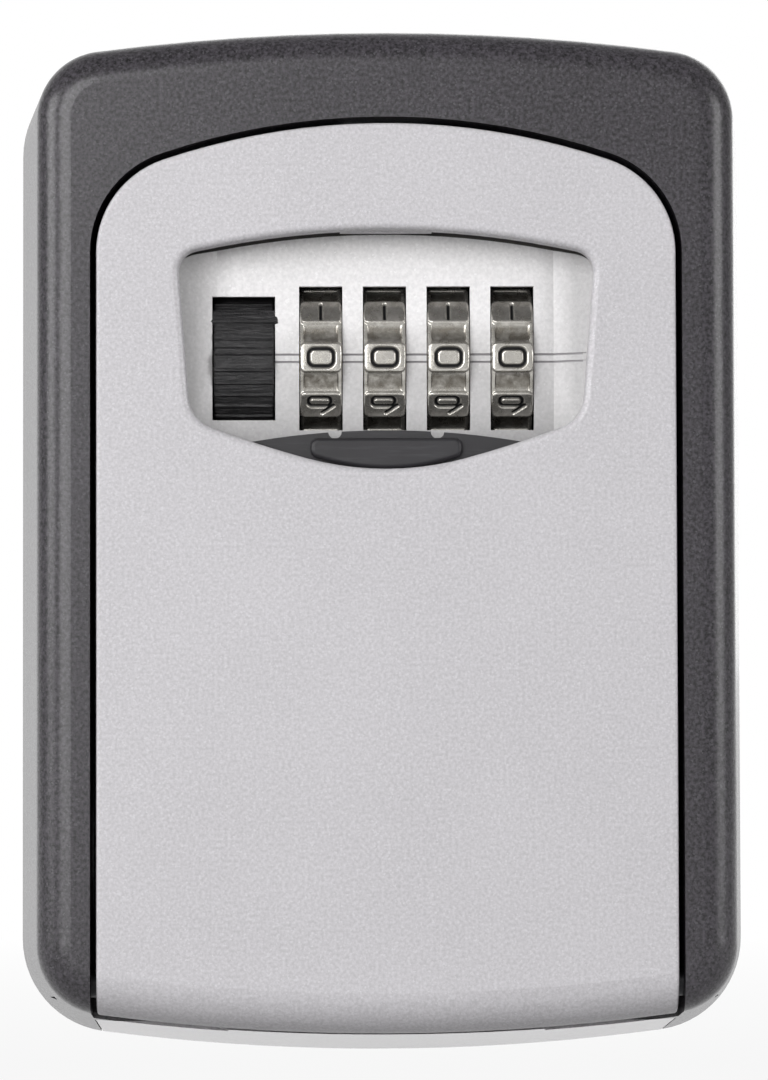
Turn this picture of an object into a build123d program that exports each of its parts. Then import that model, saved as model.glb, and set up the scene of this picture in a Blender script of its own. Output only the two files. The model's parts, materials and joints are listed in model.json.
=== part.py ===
from build123d import *
import math
import os

# Wall-mounted key safe with a drop-down door and a four-wheel combination lock.
# Frame: X to the right, Y towards the wall, Z up. The origin is the centre of the back face.
# All sizes are in millimetres.

os.makedirs("parts", exist_ok=True)

# Case
case_width = 85.0
case_height = 119.0
case_depth = 40.0
case_draft = 3.6
case_arch_radius = 250.0
case_corner_radius = 11.0
case_edge_radius = 4.0
case_wall = 2.4
back_wall = 3.0
lip_depth = 12.5
mount_spacing_x = 38.0
mount_spacing_z = 70.0
mount_hole_radius = 2.6

# Door
door_side_band = 6.45
door_top_below_case = 10.3
door_arch_radius = 78.0
door_corner_radius = 11.0
door_gap = 0.7
door_skin = 2.0
door_flange = 1.8
door_flange_reach = 5.5
tongue_reach = 2.0
door_bottom_radius = 240.0
door_foot_radius = 4.6
door_edge_radius = 0.4

# Hinge: the axis lies this far behind the front face and above the underside of the door
hinge_inset = 5.2
hinge_rise = 5.6
hinge_pin_radius = 1.5
hinge_pin_grip = 4.0
hinge_lug_width = 5.0
hinge_lug_radius = 2.7
leg_bore_depth = 3.0
running_fit = 0.05

# Floor plate between the legs
floor_thickness = 1.2
floor_ledge = 2.4
floor_notch_x = 18.3
floor_notch_width = 0.8
floor_side_gap = 0.15
floor_sweep_gap = 0.2
floor_screw_x = 20.0
floor_screw_inset = 12.0
floor_boss_radius = 2.5
floor_screw_radius = 1.2
floor_screw_head_radius = 3.2
floor_screw_head = 1.8

# Dial group: every height in the window is measured from the axis of the wheels
dial_axis_below_door = 26.0
dial_axis_inset = 13.45
wheel_radius = 9.2
wheel_width = 4.4
wheel_pitch = 7.2
wheel_count = 4
wheel_first_x = -7.3
digit_count = 10
scallop_radius = 1.5
scallop_depth = 0.75
wheel_chamfer = 0.5
wheel_slot_width = 4.9
wheel_slot_height = 16.3

# Window in the door, as the outer rim of its rounded edge
window_half_top = 24.2
window_half_bottom = 22.65
window_top_rise = 14.75
window_top_radius = 100.0
window_side_drop = 7.8
window_tip_drop = 14.45
window_bow = 0.6
window_corner_top = 3.2
window_corner_bottom = 4.8
window_tip_radius = 34.0
window_edge = 0.75

# Shutter
shutter_half_width = 23.9
shutter_height = 30.0
shutter_thickness = 1.5
shutter_top_drop = 8.4
shutter_arch_radius = 90.0
shutter_corner = 2.0
shutter_travel = 22.2
shutter_play = 0.2
shutter_side_play = 0.3
shutter_notch_x = 5.75
shutter_notch_radius = 0.75
grip_half_width = 8.5
grip_raise = 0.9
grip_top_drop = 9.3
grip_side_height = 2.0
grip_height = 3.45
grip_corner = 0.9
grip_edge = 0.5
rail_width = 1.4
stop_half_width = 5.15
stop_height = 1.4
stop_gap = 0.05

# Lock carrier
carrier_half_width = 24.5
carrier_top_rise = 14.0
carrier_top_radius = 100.0
carrier_corner = 4.0
carrier_apron = 1.6
dial_recess = 2.1
dial_ramp_overlap = 0.3
dial_floor_half = 19.0
dial_floor_thickness = 1.2
dial_recess_drop = 10.4
dial_line_half_gap = 0.42
dial_line_width = 0.22
dial_line_depth = 0.15
dial_line_ramp_share = 0.8
lock_depth = 18.3
lock_wall = 1.6
lock_side_wall = 2.9
lock_half_inner = 22.4
lock_floor_drop = 12.4
lock_roof_rise = 16.0
brow_thickness = 0.7
brow_rise = 9.6
lever_slot_width = 7.1
lever_slot_height = 14.0
spring_shelf_rise = 4.0
spring_shelf_thickness = 1.2

# Cover and its screws
cover_thickness = 2.0
column_side_gap = 0.85
column_radius = 2.5
column_web = 2.0
column_clearance = 0.2
column_upper_rise = 13.4
column_lower_drop = 10.6
cover_screw_radius = 1.2
cover_screw_clearance = 0.15
cover_screw_bite = 4.0
cover_screw_head_radius = 2.3
cover_screw_head = 1.4
cover_screw_slot = 0.6
cover_screw_cross = 3.2
rib_reach = 6.5
rib_half_height = 5.0
rib_play = 0.3

# Shaft, code discs and splines
shaft_radius = 1.5
shaft_left_x = -24.0
shaft_right_x = 24.6
disc_radius = 6.0
disc_thickness = 1.0
disc_gap = 0.3
gate_width = 1.6
gate_floor_radius = 3.5
gate_cut = 4.0
hub_radius = 3.2
spline_tip_radius = 3.7
spline_root_radius = 3.8
spline_length = 1.0
spline_angle = 14.0
groove_angle = 18.0
hub_clearance = 0.1
spacer_radius = 2.2
spacer_play = 0.1
clip_radius = 2.4
clip_thickness = 0.5
reset_travel = 1.2

# Opening lever
lever_x = -16.0
lever_width = 6.1
lever_radius = 8.4
lever_hub_radius = 3.0
lever_top_angle = 95.0
lever_bottom_angle = 58.0
lever_swing = 40.0
lever_ledge_angle = 21.0
lever_ledge_spread = 12.0
lever_ledge_raise = 0.5
lever_rib_radius = 0.24
lever_rib_start = 8.5
lever_rib_pitch = 10.0
lever_rib_count = 5
lever_pin_reach = 4.0
lever_pin_radius = 0.7

# Latch
latch_thickness = 1.3
latch_bar_height = 3.0
latch_play = 0.3
latch_right_x = 21.2
latch_arm_width = 1.3
latch_arm_gap = 0.65
latch_tongue_half = 5.0
latch_bite = 2.2
fence_thickness = 0.9
fence_depth = 1.2
fence_gap = 0.4
pin_slot_play = 0.15
arm_rim = 0.4

# Latch spring
spring_x = 19.5
spring_radius = 1.6
spring_wire_radius = 0.25
spring_turns = 5

# Reset lever and detent leaf
reset_x = 20.9
reset_thickness = 1.1
reset_half_height = 2.4
reset_stem_half = 1.6
reset_nose = 2.6
leaf_thickness = 0.3
leaf_finger_width = 2.6
leaf_gap = 0.25
leaf_base_low = 11.6
leaf_base_high = 8.4
leaf_tip_rise = 3.0

# Derived places
half_width = case_width / 2
half_height = case_height / 2
front_y = -case_depth
front_half_height = half_height - case_draft
draft_angle = math.degrees(math.atan2(case_draft, case_depth))
skin_back_y = front_y + door_skin
lip_back_y = front_y + lip_depth

door_half = half_width - case_draft - door_side_band
door_top = front_half_height - door_top_below_case
door_foot = -front_half_height - case_draft * door_foot_radius / case_depth
opening_half = door_half + door_gap
opening_top = door_top + door_gap

hinge_y = front_y + hinge_inset
hinge_z = door_foot + hinge_rise
flange_back_y = hinge_y + door_flange_reach
foot_sweep = math.hypot(hinge_inset - door_foot_radius, hinge_rise - door_foot_radius) + door_foot_radius
door_sweep = max(math.hypot(door_flange_reach, hinge_rise), foot_sweep)
tongue_sweep = max(math.hypot(tongue_reach, hinge_rise), foot_sweep)

floor_top = door_foot + floor_thickness
floor_ledge_top = floor_top + floor_ledge

axis_y = front_y + dial_axis_inset
axis_z = door_top - dial_axis_below_door
frame_face_y = skin_back_y + shutter_thickness + 2 * shutter_play
dial_floor_y = frame_face_y + dial_recess
dial_back_y = dial_floor_y + dial_floor_thickness
line_left_x = lever_x + lever_slot_width / 2
ramp_half = window_half_top - window_edge + dial_ramp_overlap
line_right_x = dial_floor_half + dial_line_ramp_share * (ramp_half - dial_floor_half)
line_right_y = dial_floor_y - dial_line_ramp_share * dial_recess
lock_back_y = dial_back_y + lock_depth
cover_back_y = lock_back_y + cover_thickness
lock_half_outer = lock_half_inner + lock_side_wall
column_x = door_half - door_flange - column_side_gap - column_radius
lock_floor = axis_z - lock_floor_drop
lock_roof = axis_z + lock_roof_rise
column_levels = [(0, axis_z + column_upper_rise), (0, axis_z - column_lower_drop)]
column_places = [(side * column_x, z) for side in (-1, 1) for _, z in column_levels]
wheel_places = [wheel_first_x + wheel_pitch * k for k in range(wheel_count)]
disc_left = wheel_width / 2 + disc_gap + disc_thickness
hub_right = wheel_width / 2 - 2 * hub_clearance
latch_travel = lever_pin_reach * math.sin(math.radians(lever_swing))
bar_bottom = axis_z + wheel_radius + latch_play + latch_travel
bar_top = bar_bottom + latch_bar_height
arm_left = lever_x - lever_width / 2 - latch_arm_gap - latch_arm_width
pin_slot_front = -lever_pin_reach - lever_pin_radius - pin_slot_play
pin_slot_back = -lever_pin_reach * math.cos(math.radians(lever_swing)) + lever_pin_radius + pin_slot_play
arm_front = pin_slot_front - arm_rim
arm_back = pin_slot_back + arm_rim
arm_foot = lever_pin_radius + pin_slot_play + 2 * arm_rim
rib_width = wheel_pitch - wheel_width - 2 * rib_play
rib_places = [wheel_first_x + wheel_pitch * (k - 0.5) for k in range(wheel_count + 1)]
rail_x = shutter_half_width + shutter_side_play + rail_width / 2
shutter_back_y = frame_face_y - shutter_play
shutter_top = axis_z - shutter_top_drop
rail_bottom = shutter_top - shutter_height - shutter_side_play - rail_width
rail_top = shutter_top + shutter_travel + rail_width
stop_bottom = shutter_top + shutter_travel + stop_gap
shelf_top = axis_z + spring_shelf_rise + spring_shelf_thickness


def front_plane(y):
    """Plane seen from the front: local x is X, local y is Z, and the normal points forward."""
    return Plane(origin=(0, y, 0), x_dir=(1, 0, 0), z_dir=(0, -1, 0))


def side_plane(x):
    """Plane across X with its origin on the wheel axis: local x is Y, local y is Z."""
    return Plane(origin=(x, axis_y, axis_z), x_dir=(0, 1, 0), z_dir=(1, 0, 0))


def hinge_plane(x):
    """Plane across X with its origin on the hinge axis."""
    return Plane(origin=(x, hinge_y, hinge_z), x_dir=(0, 1, 0), z_dir=(1, 0, 0))


def sagitta(radius, half):
    return radius - math.sqrt(radius * radius - half * half)


def arched_outline(half, top, top_radius, bottom, bottom_radius=None):
    """Edges of an upright outline with an arched top and a flat or arched bottom."""
    shoulder = top - sagitta(top_radius, half)
    foot = bottom + sagitta(bottom_radius, half) if bottom_radius else bottom
    with BuildLine() as outline:
        ThreePointArc((-half, shoulder), (0, top), (half, shoulder))
        Line((half, shoulder), (half, foot))
        if bottom_radius:
            ThreePointArc((half, foot), (0, bottom), (-half, foot))
        else:
            Line((half, foot), (-half, foot))
        Line((-half, foot), (-half, shoulder))
    return outline.edges()


def window_outline():
    """Edges of the window rim: arched top, drawn-in sides and a shallow V below."""
    top = axis_z + window_top_rise
    shoulder = top - sagitta(window_top_radius, window_half_top)
    side_low = axis_z - window_side_drop
    tip = axis_z - window_tip_drop
    middle_x = window_half_bottom / 2
    middle_z = (side_low + tip) / 2 - window_bow
    with BuildLine() as outline:
        ThreePointArc((-window_half_top, shoulder), (0, top), (window_half_top, shoulder))
        for side in (1, -1):
            Line((side * window_half_top, shoulder), (side * window_half_bottom, side_low))
            ThreePointArc(
                (side * window_half_bottom, side_low),
                (side * middle_x, middle_z),
                (0, tip),
            )
    return outline.edges()


def barrel_sector(radius, low_angle, high_angle):
    """Pie slice about the wheel axis; angles rise from the front horizontal."""
    reach = 2 * radius
    middle = (low_angle + high_angle) / 2
    with BuildSketch(mode=Mode.PRIVATE) as sector:
        Circle(radius)
        with BuildLine():
            Polyline(
                (0, 0),
                *[
                    (-reach * math.cos(math.radians(a)), reach * math.sin(math.radians(a)))
                    for a in (low_angle, middle, high_angle)
                ],
                close=True,
            )
        make_face(mode=Mode.INTERSECT)
    return sector.sketch


def spline_sector(radius, width, tooth):
    """One spline tooth or groove as a thin pie slice."""
    middle = 360 / digit_count * tooth
    return barrel_sector(radius, middle - width / 2, middle + width / 2)


def write(builder, name):
    """Label a finished piece and write its file."""
    builder.part.label = name
    export_step(builder.part, f"parts/{name}.step")


# Outer form shared by the case and its floor plate
with BuildPart() as envelope:
    with BuildSketch(front_plane(0)) as back_outline:
        make_face(arched_outline(half_width, half_height, case_arch_radius, -half_height, case_arch_radius))
        fillet(back_outline.vertices(), case_corner_radius)
    extrude(amount=case_depth, taper=draft_angle)
    fillet(envelope.faces().sort_by(Axis.Y)[0].edges(), case_edge_radius)

# Cavity behind the front lip, with a level floor
with BuildPart() as cavity:
    cavity_half = half_width - case_draft * back_wall / case_depth - case_wall
    cavity_top = half_height - case_draft * back_wall / case_depth - case_wall
    with BuildSketch(front_plane(-back_wall)) as cavity_outline:
        make_face(arched_outline(cavity_half, cavity_top, case_arch_radius, -case_height))
        fillet(cavity_outline.vertices().group_by(Axis.Y)[-1], case_corner_radius - case_wall)
    extrude(amount=case_depth - back_wall - lip_depth, taper=draft_angle)
    split(bisect_by=Plane.XY.offset(floor_ledge_top), keep=Keep.TOP)

with BuildPart() as case_shell:
    add(envelope.part)
    add(cavity.part, mode=Mode.SUBTRACT)
    with BuildSketch(front_plane(lip_back_y)) as opening:
        make_face(arched_outline(opening_half, opening_top, door_arch_radius + door_gap, -case_height))
        fillet(opening.vertices().group_by(Axis.Y)[-1], door_corner_radius + door_gap)
    extrude(amount=lip_depth, mode=Mode.SUBTRACT)
    # Pocket for the floor plate below the ledge
    with BuildSketch(Plane.XY.offset(floor_top)):
        Rectangle(2 * opening_half, 2 * case_depth)
    extrude(amount=-case_depth, mode=Mode.SUBTRACT)
    # Room for the foot of the door as it turns
    with BuildSketch(hinge_plane(-opening_half)):
        Circle(door_sweep + floor_sweep_gap)
    extrude(amount=2 * opening_half, mode=Mode.SUBTRACT)
    # Blind bores in the legs for the hinge pins
    with BuildSketch(hinge_plane(-opening_half - leg_bore_depth)):
        Circle(hinge_pin_radius + running_fit)
    extrude(amount=2 * (opening_half + leg_bore_depth), mode=Mode.SUBTRACT)
    # Wall screw holes
    with BuildSketch(front_plane(0)):
        with GridLocations(mount_spacing_x, mount_spacing_z, 2, 2):
            Circle(mount_hole_radius)
    extrude(amount=back_wall, mode=Mode.SUBTRACT)
    # Holes in the ledge for the bosses of the floor plate
    with BuildSketch(Plane.XY.offset(floor_ledge_top)):
        with Locations((-floor_screw_x, -floor_screw_inset), (floor_screw_x, -floor_screw_inset)):
            Circle(floor_boss_radius + floor_side_gap)
    extrude(amount=-floor_ledge, mode=Mode.SUBTRACT)
write(case_shell, "case_shell")

with BuildPart() as floor_plate:
    with BuildSketch(front_plane(0)):
        make_face(arched_outline(half_width, half_height, case_arch_radius, -half_height, case_arch_radius))
    extrude(amount=case_depth, taper=draft_angle)
    with BuildSketch(Plane.XY.offset(floor_top)):
        Rectangle(2 * (opening_half - floor_side_gap), 2 * case_depth)
    extrude(amount=-case_depth, mode=Mode.INTERSECT)
    # The front edge follows the sweep of the door: a tongue in the middle, set back beside it
    with BuildSketch(hinge_plane(-opening_half)):
        Circle(tongue_sweep + floor_sweep_gap)
        with Locations((-case_depth / 2, 0)):
            Rectangle(case_depth, case_depth)
    extrude(amount=2 * opening_half, mode=Mode.SUBTRACT)
    for start in (-opening_half, floor_notch_x - floor_notch_width / 2):
        with BuildSketch(hinge_plane(start)):
            Circle(door_sweep + floor_sweep_gap)
        extrude(amount=opening_half - floor_notch_x + floor_notch_width / 2, mode=Mode.SUBTRACT)
    with BuildSketch(Plane.XY.offset(floor_top)):
        with Locations((-floor_screw_x, -floor_screw_inset), (floor_screw_x, -floor_screw_inset)):
            Circle(floor_boss_radius)
    extrude(amount=floor_ledge - floor_side_gap)
    with BuildSketch(Plane.XY.offset(floor_ledge_top - floor_side_gap)):
        with Locations((-floor_screw_x, -floor_screw_inset), (floor_screw_x, -floor_screw_inset)):
            Circle(floor_screw_radius)
    extrude(amount=-floor_ledge, mode=Mode.SUBTRACT)
write(floor_plate, "floor_plate")

with BuildPart() as floor_screws:
    with BuildSketch(Plane.XY.offset(floor_ledge_top)):
        with Locations((-floor_screw_x, -floor_screw_inset), (floor_screw_x, -floor_screw_inset)):
            Circle(floor_screw_head_radius)
    extrude(amount=floor_screw_head)
    with BuildSketch(Plane.XY.offset(floor_ledge_top)):
        with Locations((-floor_screw_x, -floor_screw_inset), (floor_screw_x, -floor_screw_inset)):
            Circle(floor_screw_radius)
    extrude(amount=-floor_ledge)
write(floor_screws, "floor_screws")

with BuildPart() as door_panel:
    with BuildSketch(front_plane(flange_back_y)) as door_outline:
        make_face(arched_outline(door_half, door_top, door_arch_radius, door_foot, door_bottom_radius))
        fillet(door_outline.vertices().group_by(Axis.Y)[-1], door_corner_radius)
    extrude(amount=flange_back_y - front_y)
    fillet(door_panel.faces().sort_by(Axis.Y)[0].edges().sort_by(Axis.Z)[0], door_foot_radius)
    fillet(door_panel.faces().sort_by(Axis.Y)[0].edges().sort_by(Axis.Z)[1:], door_edge_radius)
    # Hollow back
    with BuildSketch(front_plane(flange_back_y)) as hollow:
        make_face(arched_outline(door_half, door_top, door_arch_radius, door_foot, door_bottom_radius))
        fillet(hollow.vertices().group_by(Axis.Y)[-1], door_corner_radius)
        offset(amount=-door_flange)
    extrude(amount=flange_back_y - skin_back_y, mode=Mode.SUBTRACT)
    # The underside is short in the middle, where the tongue of the floor plate reaches under it
    with BuildSketch(Plane.XY.offset(door_foot - door_gap)):
        with Locations((0, hinge_y + tongue_reach + case_depth / 2)):
            Rectangle(2 * floor_notch_x + floor_notch_width, case_depth)
    extrude(amount=hinge_rise, mode=Mode.SUBTRACT)
    # Window and its rounded edge
    with BuildSketch(front_plane(skin_back_y)) as window:
        make_face(window_outline())
        fillet(window.vertices().group_by(Axis.Y)[-1], window_corner_top)
        fillet(window.vertices().group_by(Axis.Y)[-3], window_corner_bottom)
        offset(amount=-window_edge)
        fillet(window.vertices().group_by(Axis.Y)[0], window_tip_radius)
    extrude(amount=door_skin, mode=Mode.SUBTRACT)
    fillet(door_panel.faces().sort_by(Axis.Y)[0].inner_wires()[0].edges(), window_edge)
    # Rails and stops of the shutter channel
    with BuildSketch(front_plane(skin_back_y)):
        for side in (-1, 1):
            with Locations((side * rail_x, (rail_top + rail_bottom) / 2)):
                Rectangle(rail_width, rail_top - rail_bottom)
    extrude(amount=skin_back_y - frame_face_y)
    with BuildSketch(front_plane(skin_back_y)):
        with Locations((0, rail_bottom + rail_width / 2)):
            Rectangle(2 * rail_x, rail_width)
        with Locations((0, stop_bottom + stop_height / 2)):
            Rectangle(2 * stop_half_width, stop_height)
    extrude(amount=-shutter_thickness)
    # Bosses that the lock is screwed to
    with BuildSketch(front_plane(skin_back_y)):
        with Locations(*column_places):
            Circle(column_radius)
    extrude(amount=skin_back_y - dial_back_y)
    with BuildSketch(front_plane(dial_back_y)):
        with Locations(*column_places):
            Circle(cover_screw_radius)
    extrude(amount=cover_screw_bite, mode=Mode.SUBTRACT)
    # Hinge lugs
    for start in (-door_half + door_flange / 2, door_half - door_flange / 2 - hinge_lug_width):
        with BuildSketch(hinge_plane(start)):
            Circle(hinge_lug_radius)
            with Locations(((door_skin / 2 - hinge_inset) / 2, hinge_lug_radius / 2)):
                Rectangle(hinge_inset - door_skin / 2, hinge_lug_radius)
        extrude(amount=hinge_lug_width)
    with BuildSketch(hinge_plane(-door_half)):
        Circle(hinge_pin_radius)
    extrude(amount=2 * door_half, mode=Mode.SUBTRACT)
write(door_panel, "door_panel")

# One pin at each end of the hinge, pressed into the door and free in the leg
for side, name in ((-1, "hinge_pin_left"), (1, "hinge_pin_right")):
    with BuildPart() as hinge_pin:
        with BuildSketch(hinge_plane(side * (door_half - hinge_pin_grip))):
            Circle(hinge_pin_radius)
        extrude(amount=side * (hinge_pin_grip + door_gap + leg_bore_depth - door_gap / 2))
    write(hinge_pin, name)

with BuildPart() as shutter:
    with BuildSketch(front_plane(shutter_back_y)) as shutter_outline:
        make_face(
            arched_outline(
                shutter_half_width, shutter_top, shutter_arch_radius, shutter_top - shutter_height
            )
        )
        fillet(shutter_outline.vertices(), shutter_corner)
        notch_z = shutter_top - sagitta(shutter_arch_radius, shutter_notch_x)
        with Locations((-shutter_notch_x, notch_z), (shutter_notch_x, notch_z)):
            Circle(shutter_notch_radius, mode=Mode.SUBTRACT)
    extrude(amount=shutter_thickness)
    # Finger grip that follows the foot of the window
    with BuildSketch(front_plane(shutter_back_y - shutter_thickness)) as grip:
        grip_top = axis_z - grip_top_drop
        grip_side = grip_top - grip_side_height
        with BuildLine():
            Polyline(
                (-grip_half_width, grip_side),
                (-grip_half_width, grip_top),
                (grip_half_width, grip_top),
                (grip_half_width, grip_side),
            )
            ThreePointArc(
                (-grip_half_width, grip_side), (0, grip_top - grip_height), (grip_half_width, grip_side)
            )
        make_face()
        fillet(grip.vertices(), grip_corner)
    extrude(amount=grip_raise)
    fillet(shutter.faces().sort_by(Axis.Y)[0].edges(), grip_edge)
write(shutter, "shutter")

with BuildPart() as lock_carrier:
    with BuildSketch(front_plane(dial_back_y)) as plate_outline:
        make_face(
            arched_outline(
                carrier_half_width, axis_z + carrier_top_rise, carrier_top_radius, rail_bottom
            )
        )
        fillet(plate_outline.vertices(), carrier_corner)
        # Room for the bosses of the door
        with Locations(*column_places):
            Circle(column_radius + column_clearance, mode=Mode.SUBTRACT)
    extrude(amount=dial_back_y - frame_face_y)
    # The apron below the lock is a thin plate
    with BuildSketch(Plane.XY.offset(lock_floor - lock_wall)):
        with Locations((0, frame_face_y + carrier_apron + case_depth / 2)):
            Rectangle(case_width, case_depth)
    extrude(amount=-case_height, mode=Mode.SUBTRACT)
    # Dial recess with ramps at the sides
    with BuildSketch(Plane.XY.offset(axis_z - dial_recess_drop)):
        with BuildLine():
            Polyline(
                (-ramp_half, frame_face_y),
                (-dial_floor_half, dial_floor_y),
                (dial_floor_half, dial_floor_y),
                (ramp_half, frame_face_y),
                close=True,
            )
        make_face()
    extrude(amount=case_height, mode=Mode.SUBTRACT)
    # Two fine lines mark the row of digits that counts
    for side in (-1, 1):
        line_low = axis_z + side * dial_line_half_gap - dial_line_width / 2
        with BuildSketch(Plane.XY.offset(line_low)):
            with BuildLine():
                Polyline(
                    (line_left_x, dial_floor_y + dial_line_depth),
                    (dial_floor_half, dial_floor_y + dial_line_depth),
                    (line_right_x, line_right_y + dial_line_depth),
                    (line_right_x, line_right_y - dial_line_depth),
                    (dial_floor_half, dial_floor_y - dial_line_depth),
                    (line_left_x, dial_floor_y - dial_line_depth),
                    close=True,
                )
            make_face()
        extrude(amount=dial_line_width, mode=Mode.SUBTRACT)
    # Lock box behind the plate
    with BuildSketch(front_plane(lock_back_y)):
        with Locations((0, (lock_roof + lock_floor) / 2)):
            Rectangle(2 * lock_half_outer, lock_roof - lock_floor + 2 * lock_wall)
        with Locations(*column_levels):
            Rectangle(2 * column_x, column_web)
        with Locations(*column_places):
            Circle(column_radius)
    extrude(amount=lock_depth)
    with BuildSketch(front_plane(lock_back_y)):
        with Locations((0, (lock_roof + lock_floor) / 2)):
            Rectangle(2 * lock_half_inner, lock_roof - lock_floor)
    extrude(amount=lock_depth - brow_thickness, mode=Mode.SUBTRACT)
    with BuildSketch(front_plane(dial_back_y + brow_thickness)):
        with Locations((0, (axis_z + brow_rise + lock_floor) / 2)):
            Rectangle(2 * lock_half_inner, axis_z + brow_rise - lock_floor)
    extrude(amount=brow_thickness, mode=Mode.SUBTRACT)
    # Slots for the wheels and the opening lever
    with BuildSketch(front_plane(dial_back_y)):
        for x in wheel_places:
            with Locations((x, axis_z)):
                Rectangle(wheel_slot_width, wheel_slot_height)
        with Locations((lever_x, axis_z)):
            Rectangle(lever_slot_width, lever_slot_height)
    extrude(amount=dial_back_y - frame_face_y, mode=Mode.SUBTRACT)
    # Shaft bores, screw holes and the slot for the latch tongue
    with BuildSketch(side_plane(-lock_half_outer)):
        Circle(shaft_radius + running_fit)
    extrude(amount=2 * lock_half_outer, mode=Mode.SUBTRACT)
    with BuildSketch(front_plane(lock_back_y)):
        with Locations(*column_places):
            Circle(cover_screw_radius + cover_screw_clearance)
    extrude(amount=lock_back_y - frame_face_y, mode=Mode.SUBTRACT)
    with BuildSketch(Plane.XY.offset(lock_roof)):
        with Locations((0, axis_y)):
            Rectangle(2 * (latch_tongue_half + latch_play), latch_thickness + 2 * latch_play)
    extrude(amount=lock_wall, mode=Mode.SUBTRACT)
    # Shelf that the latch spring stands on
    with BuildSketch(Plane.XY.offset(axis_z + spring_shelf_rise)):
        with Locations(((spring_x - spring_radius - spring_wire_radius + lock_half_inner) / 2, axis_y)):
            Rectangle(
                lock_half_inner - spring_x + spring_radius + spring_wire_radius,
                2 * (spring_radius + 2 * spring_wire_radius),
            )
    extrude(amount=spring_shelf_thickness)
write(lock_carrier, "lock_carrier")

# Number wheels: ten pads with a finger scallop between each two
scallop_ring = wheel_radius + scallop_radius - scallop_depth
half_step = 180 / digit_count
for k, x in enumerate(wheel_places):
    with BuildPart() as wheel:
        with BuildSketch(side_plane(x - wheel_width / 2)):
            Circle(wheel_radius)
        extrude(amount=wheel_width)
        chamfer(wheel.edges().filter_by(GeomType.CIRCLE), wheel_chamfer)
        with BuildSketch(side_plane(x - wheel_width / 2)):
            with PolarLocations(scallop_ring, digit_count, start_angle=half_step):
                Circle(scallop_radius)
        extrude(amount=wheel_width, mode=Mode.SUBTRACT)
        with BuildSketch(side_plane(x - wheel_width / 2)):
            Circle(spline_root_radius)
        extrude(amount=wheel_width, mode=Mode.SUBTRACT)
        # Inner splines on the right-hand side only
        with BuildSketch(side_plane(x + wheel_width / 2 - spline_length - hub_clearance)):
            Circle(spline_root_radius)
            Circle(hub_radius + hub_clearance, mode=Mode.SUBTRACT)
            for tooth in range(digit_count):
                add(spline_sector(spline_root_radius, groove_angle, tooth), mode=Mode.SUBTRACT)
        extrude(amount=spline_length + hub_clearance)
    write(wheel, f"wheel_{k + 1}")

    # Code disc: a gated flange beside the wheel and a splined hub inside it
    with BuildPart() as code_disc:
        with BuildSketch(side_plane(x - disc_left)):
            Circle(disc_radius)
            # The gate is at the top; a second notch lies between two digits, for assembly
            with Locations((0, gate_floor_radius + gate_cut / 2)):
                Rectangle(gate_width, gate_cut, mode=Mode.SUBTRACT)
            with Locations((gate_floor_radius + gate_cut / 2, 0)):
                Rectangle(gate_cut, gate_width, mode=Mode.SUBTRACT)
        extrude(amount=disc_thickness)
        with BuildSketch(side_plane(x - disc_left)):
            Circle(hub_radius)
        extrude(amount=disc_left + hub_right)
        with BuildSketch(side_plane(x + hub_right - spline_length + hub_clearance)):
            Circle(hub_radius)
            for tooth in range(digit_count):
                add(spline_sector(spline_tip_radius, spline_angle, tooth))
        extrude(amount=spline_length - hub_clearance)
        with BuildSketch(side_plane(x - disc_left)):
            Circle(shaft_radius + running_fit)
        extrude(amount=disc_left + hub_right, mode=Mode.SUBTRACT)
    write(code_disc, f"code_disc_{k + 1}")

with BuildPart() as wheel_shaft:
    with BuildSketch(side_plane(shaft_left_x)):
        Circle(shaft_radius)
    extrude(amount=shaft_right_x - shaft_left_x)
write(wheel_shaft, "wheel_shaft")

# Spacer tubes on the shaft between the code discs, and the last one up to the reset lever
with BuildPart() as shaft_spacers:
    spans = [(left + hub_right, right - disc_left) for left, right in zip(wheel_places, wheel_places[1:])]
    spans.append((wheel_places[-1] + hub_right, reset_x))
    for start, end in spans:
        with BuildSketch(side_plane(start + spacer_play)):
            Circle(spacer_radius)
            Circle(shaft_radius, mode=Mode.SUBTRACT)
        extrude(amount=end - start - 2 * spacer_play)
write(shaft_spacers, "shaft_spacers")

with BuildPart() as shaft_clip:
    with BuildSketch(side_plane(wheel_places[0] - disc_left - spacer_play - clip_thickness)):
        Circle(clip_radius)
        Circle(shaft_radius, mode=Mode.SUBTRACT)
        with Locations((clip_radius, 0)):
            Rectangle(clip_radius, shaft_radius, mode=Mode.SUBTRACT)
    extrude(amount=clip_thickness)
write(shaft_clip, "shaft_clip")

with BuildPart() as opening_lever:
    with BuildSketch(side_plane(lever_x - lever_width / 2)):
        Circle(lever_hub_radius)
        add(barrel_sector(lever_radius, -lever_bottom_angle, lever_top_angle))
        ledge_low = lever_ledge_angle - lever_ledge_spread / 2
        ledge_high = lever_ledge_angle + lever_ledge_spread / 2
        add(barrel_sector(lever_radius + lever_ledge_raise, ledge_low, ledge_high))
        Circle(shaft_radius + running_fit, mode=Mode.SUBTRACT)
        with PolarLocations(
            lever_radius,
            lever_rib_count,
            start_angle=180 + lever_rib_start,
            angular_range=lever_rib_pitch * (lever_rib_count - 1),
            endpoint=True,
        ):
            Circle(lever_rib_radius, mode=Mode.SUBTRACT)
    extrude(amount=lever_width)
    with BuildSketch(side_plane(lever_x - lever_width / 2)):
        with Locations((-lever_pin_reach, 0)):
            Circle(lever_pin_radius)
    extrude(amount=-(latch_arm_gap + latch_arm_width))
write(opening_lever, "opening_lever")

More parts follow.
